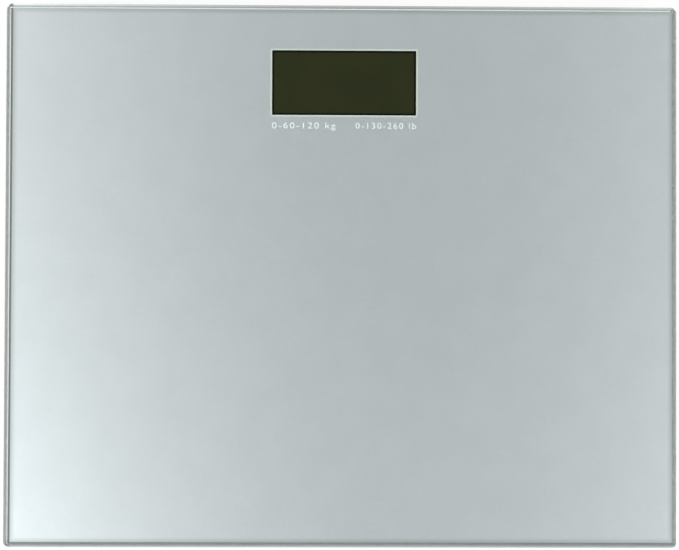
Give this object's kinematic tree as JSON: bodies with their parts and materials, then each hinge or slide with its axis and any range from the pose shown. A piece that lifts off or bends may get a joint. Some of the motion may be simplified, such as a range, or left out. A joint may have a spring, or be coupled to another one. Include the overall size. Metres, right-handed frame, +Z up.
{
  "type": "digital bathroom scale",
  "caption": "Slim silver-backed glass platform scale with a display window near its rear edge and sensing feet at the corners.",
  "frame": {"origin": "on the floor, under the middle of the platform", "axes": "+Z up out of the glass, +X along the long side to the right of the person standing on it, +Y from that person towards the display's end"},
  "size_m": [0.31, 0.25, 0.023],
  "materials": {
    "platform_glass": "polished",
    "silver_ink": "pearl",
    "foam_tape": "matte",
    "casing": "satin",
    "cell_steel": "satin",
    "sealant": "matte",
    "nylon": "satin",
    "rubber": "matte",
    "lead": "satin",
    "display": "glossy",
    "reflector": "satin",
    "zebra": "matte",
    "board": "satin",
    "epoxy": "satin",
    "switch": "satin",
    "plated_steel": "polished"
  },
  "bodies": {
    "platform": {"glass_platform": "platform_glass", "silver_print": "silver_ink", "housing_gasket": "foam_tape", "housing_frame": "casing", "lcd_front_glass": "display", "lcd_rear_glass": "display", "lcd_reflector": "reflector", "lcd_holder": "nylon", "zebra_strip_front": "zebra", "zebra_strip_rear": "zebra", "circuit_board": "board", "chip_blob": "epoxy", "unit_switch": "switch", "coin_cell": "plated_steel", "battery_contact_negative": "plated_steel", "battery_contact_positive": "plated_steel", "housing_cover": "casing", "adhesive_pad_front_left": "foam_tape", "foot_bracket_front_left": "casing", "load_cell_front_left": "cell_steel", "strain_gauge_front_left": "sealant", "cell_retainer_front_left": "nylon", "gauge_lead_front_left": "lead", "wire_duct_front_left": "casing", "adhesive_pad_front_right": "foam_tape", "foot_bracket_front_right": "casing", "load_cell_front_right": "cell_steel", "strain_gauge_front_right": "sealant", "cell_retainer_front_right": "nylon", "gauge_lead_front_right": "lead", "wire_duct_front_right": "casing", "adhesive_pad_rear_left": "foam_tape", "foot_bracket_rear_left": "casing", "load_cell_rear_left": "cell_steel", "strain_gauge_rear_left": "sealant", "cell_retainer_rear_left": "nylon", "gauge_lead_rear_left": "lead", "wire_duct_rear_left": "casing", "adhesive_pad_rear_right": "foam_tape", "foot_bracket_rear_right": "casing", "load_cell_rear_right": "cell_steel", "strain_gauge_rear_right": "sealant", "cell_retainer_rear_right": "nylon", "gauge_lead_rear_right": "lead", "wire_duct_rear_right": "casing", "cover_screw_front_left": "plated_steel", "cover_screw_front_right": "plated_steel", "cover_screw_rear_left": "plated_steel", "cover_screw_rear_right": "plated_steel"},
    "foot_front_left": {"foot_cap_front_left": "casing", "rubber_pad_front_left": "rubber"},
    "foot_front_right": {"foot_cap_front_right": "casing", "rubber_pad_front_right": "rubber"},
    "foot_rear_left": {"foot_cap_rear_left": "casing", "rubber_pad_rear_left": "rubber"},
    "foot_rear_right": {"foot_cap_rear_right": "casing", "rubber_pad_rear_right": "rubber"},
    "unit_button": {"unit_button": "casing", "switch_plunger": "switch"},
    "battery_door": {"battery_door": "casing"}
  },
  "joints": [
    {"name": "foot_front_left_press", "type": "slide", "parent": "platform", "child": "foot_front_left", "axis": [0, 0, 1], "range_m": [0, 0.0005], "stiffness_N_per_m": 4000, "springref_m": -0.0015, "deforming": ["load_cell_front_left"]},
    {"name": "foot_front_right_press", "type": "slide", "parent": "platform", "child": "foot_front_right", "axis": [0, 0, 1], "range_m": [0, 0.0005], "stiffness_N_per_m": 4000, "springref_m": -0.0015, "deforming": ["load_cell_front_right"]},
    {"name": "foot_rear_left_press", "type": "slide", "parent": "platform", "child": "foot_rear_left", "axis": [0, 0, 1], "range_m": [0, 0.0005], "stiffness_N_per_m": 4000, "springref_m": -0.0015, "deforming": ["load_cell_rear_left"]},
    {"name": "foot_rear_right_press", "type": "slide", "parent": "platform", "child": "foot_rear_right", "axis": [0, 0, 1], "range_m": [0, 0.0005], "stiffness_N_per_m": 4000, "springref_m": -0.0015, "deforming": ["load_cell_rear_right"]},
    {"name": "unit_button_press", "type": "slide", "parent": "platform", "child": "unit_button", "axis": [0, 0, 1], "range_m": [0, 0.00025], "stiffness_N_per_m": 6000},
    {"name": "battery_door_hinge", "type": "hinge", "parent": "platform", "child": "battery_door", "pos_m": [0.0227, 0.0668, 0.0046], "axis": [-1, 0, 0], "range_deg": [0, 60]}
  ]
}
